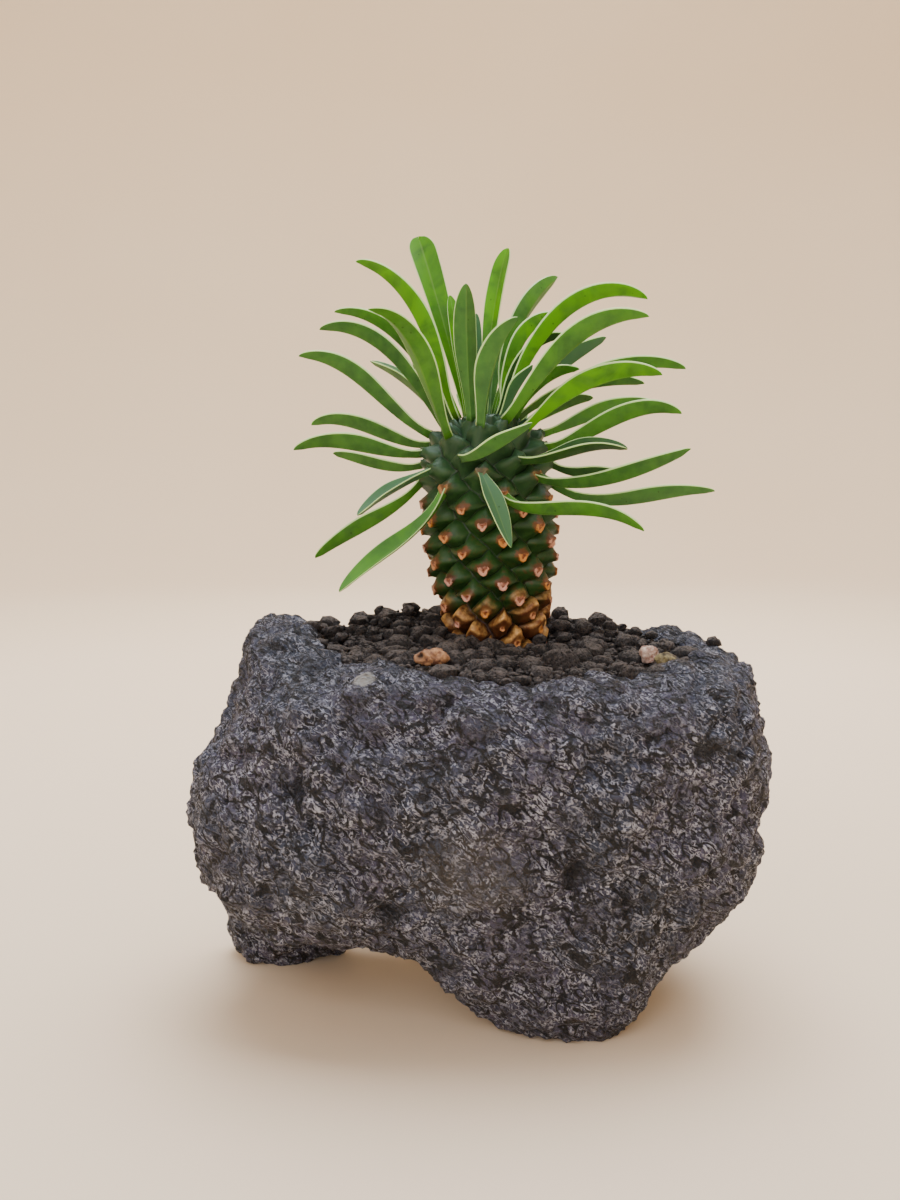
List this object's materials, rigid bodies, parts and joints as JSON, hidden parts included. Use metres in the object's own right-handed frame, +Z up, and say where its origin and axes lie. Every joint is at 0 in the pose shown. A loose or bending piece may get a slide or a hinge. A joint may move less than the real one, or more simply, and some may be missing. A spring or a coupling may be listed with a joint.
{
  "type": "potted pinecone euphorbia in lava rock planter",
  "caption": "Spineless pinecone euphorbia with a tubercled trunk and strap leaves, planted in lava grit in a bowl hollowed from a dark lava rock on low feet.",
  "frame": {"origin": "under the middle of the part's outline, on the surface the rock stands on", "axes": "+Z up, -Y the front, +X to the right seen from the front"},
  "size_m": [0.2066, 0.1768, 0.2853],
  "materials": {
    "lava_rock": "matte, dark grey vesicular basalt with fine bright glints",
    "lava_grit": "matte, brown-grey scoria",
    "trunk": "smooth green succulent skin, ochre and corky at the foot",
    "brick_stone": "matte",
    "buff_stone": "matte",
    "olive_stone": "matte",
    "leaf": "satin, fleshy green blade with a pale margin"
  },
  "bodies": {
    "root": {"rock_planter": "lava_rock", "grit": "lava_grit", "trunk": "trunk", "stone_brick": "brick_stone", "stone_buff": "buff_stone", "stone_olive": "olive_stone", "leaf_01": "leaf", "leaf_02": "leaf", "leaf_03": "leaf", "leaf_04": "leaf", "leaf_05": "leaf", "leaf_06": "leaf", "leaf_07": "leaf", "leaf_08": "leaf", "leaf_09": "leaf", "leaf_10": "leaf", "leaf_11": "leaf", "leaf_12": "leaf", "leaf_13": "leaf", "leaf_14": "leaf", "leaf_15": "leaf", "leaf_16": "leaf", "leaf_17": "leaf", "leaf_18": "leaf", "leaf_19": "leaf", "leaf_20": "leaf", "leaf_21": "leaf", "leaf_22": "leaf", "leaf_23": "leaf", "leaf_24": "leaf", "leaf_25": "leaf", "leaf_26": "leaf", "leaf_27": "leaf", "leaf_28": "leaf", "leaf_29": "leaf", "leaf_30": "leaf", "leaf_31": "leaf", "leaf_32": "leaf", "leaf_33": "leaf", "leaf_34": "leaf", "leaf_35": "leaf", "leaf_36": "leaf", "leaf_37": "leaf", "leaf_38": "leaf", "leaf_39": "leaf", "leaf_40": "leaf", "leaf_41": "leaf", "leaf_42": "leaf", "leaf_43": "leaf", "leaf_44": "leaf", "leaf_45": "leaf", "leaf_46": "leaf", "leaf_47": "leaf"}
  },
  "joints": []
}
